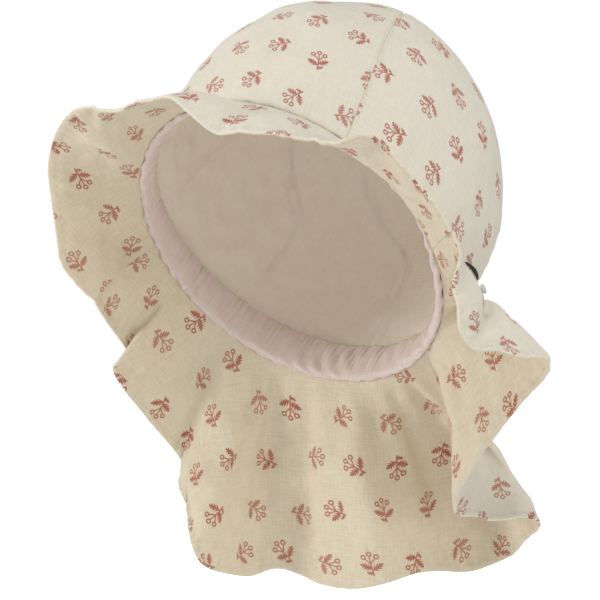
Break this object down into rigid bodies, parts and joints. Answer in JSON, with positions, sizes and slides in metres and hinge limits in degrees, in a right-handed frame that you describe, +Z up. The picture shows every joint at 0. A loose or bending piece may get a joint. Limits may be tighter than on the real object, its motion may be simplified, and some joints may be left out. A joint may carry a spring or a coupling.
{
  "type": "sun hat",
  "caption": "Soft cotton child's sun hat with a panelled round crown, gathered inner band, short wavy brim and a long ruffled neck flap, printed with small berry sprigs.",
  "frame": {"origin": "middle of the oval rim where crown and brim meet, which is where the head enters", "axes": "+Z up as worn with the face turned up, -Y the hat's front, +X the wearer's left; the crown's axis leans back 50 degrees from +Z about X"},
  "size_m": [0.2264, 0.224, 0.2857],
  "materials": {
    "printed_cotton": "matte woven cotton, cream with small terracotta sprigs",
    "lining_cotton": "matte thin plain cotton, warm beige",
    "band_cotton": "matte thin gathered cotton, pinkish grey white",
    "dark_tape": "matte woven tape, near black",
    "pale_plastic": "satin pale grey"
  },
  "bodies": {
    "root": {"crown_front": "printed_cotton", "crown_left": "printed_cotton", "crown_back": "printed_cotton", "crown_right": "printed_cotton", "crown_lining": "lining_cotton", "sweatband": "band_cotton", "front_brim": "printed_cotton", "neck_flap": "printed_cotton", "side_tab": "dark_tape", "snap_button": "pale_plastic"}
  },
  "joints": []
}
